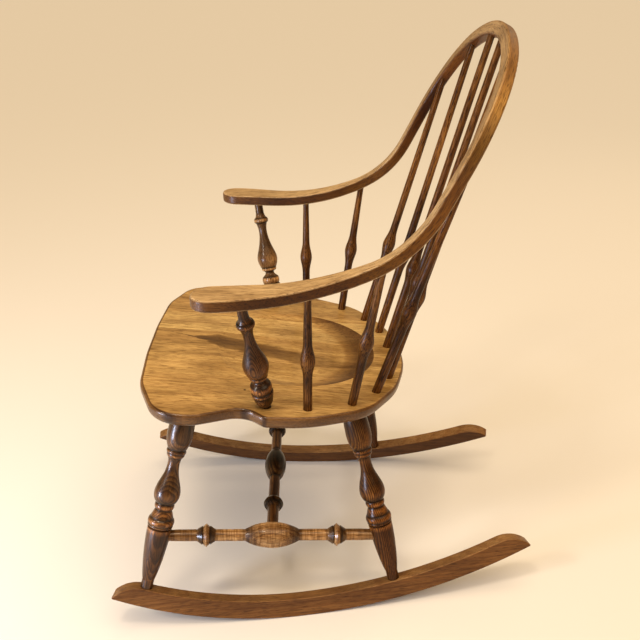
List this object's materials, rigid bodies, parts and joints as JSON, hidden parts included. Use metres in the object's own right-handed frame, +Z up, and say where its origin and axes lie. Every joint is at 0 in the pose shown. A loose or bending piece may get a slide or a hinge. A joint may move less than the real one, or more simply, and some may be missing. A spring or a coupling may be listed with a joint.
{
  "type": "rocking chair",
  "caption": "Hoop back Windsor style wooden rocking chair: shaped seat, turned legs and stretchers, curved rockers, and a bent bow that forms arms and back around turned spindles",
  "frame": {"origin": "On the floor, under the middle of the chair's bounding box, with the chair at rest on its rockers", "axes": "+Z up, -Y is where the sitter faces, +X is the sitter's left, so the chair's front is toward -Y"},
  "size_m": [0.6048, 0.7302, 0.9506],
  "materials": {
    "seat_wood": "golden brown stained hardwood boards, satin lacquer",
    "bow_wood": "mid brown stained open-pored bent hardwood, satin lacquer",
    "turned_wood": "dark brown stained turned hardwood with glaze in the grooves, semi-gloss lacquer",
    "rocker_wood": "medium reddish brown stained sawn hardwood, satin lacquer"
  },
  "bodies": {
    "root": {"arm_post_left": "turned_wood", "arm_post_right": "turned_wood", "arm_spindle_1_left": "turned_wood", "arm_spindle_1_right": "turned_wood", "arm_spindle_2_left": "turned_wood", "arm_spindle_2_right": "turned_wood", "back_spindle_1_left": "turned_wood", "back_spindle_1_right": "turned_wood", "back_spindle_2_left": "turned_wood", "back_spindle_2_right": "turned_wood", "back_spindle_3_left": "turned_wood", "back_spindle_3_right": "turned_wood", "bow": "bow_wood", "leg_front_left": "turned_wood", "leg_front_right": "turned_wood", "leg_rear_left": "turned_wood", "leg_rear_right": "turned_wood", "middle_stretcher": "turned_wood", "rocker_left": "rocker_wood", "rocker_right": "rocker_wood", "seat_board_1": "seat_wood", "seat_board_2": "seat_wood", "seat_board_3": "seat_wood", "seat_board_4": "seat_wood", "seat_board_5": "seat_wood", "side_stretcher_left": "turned_wood", "side_stretcher_right": "turned_wood"}
  },
  "joints": []
}
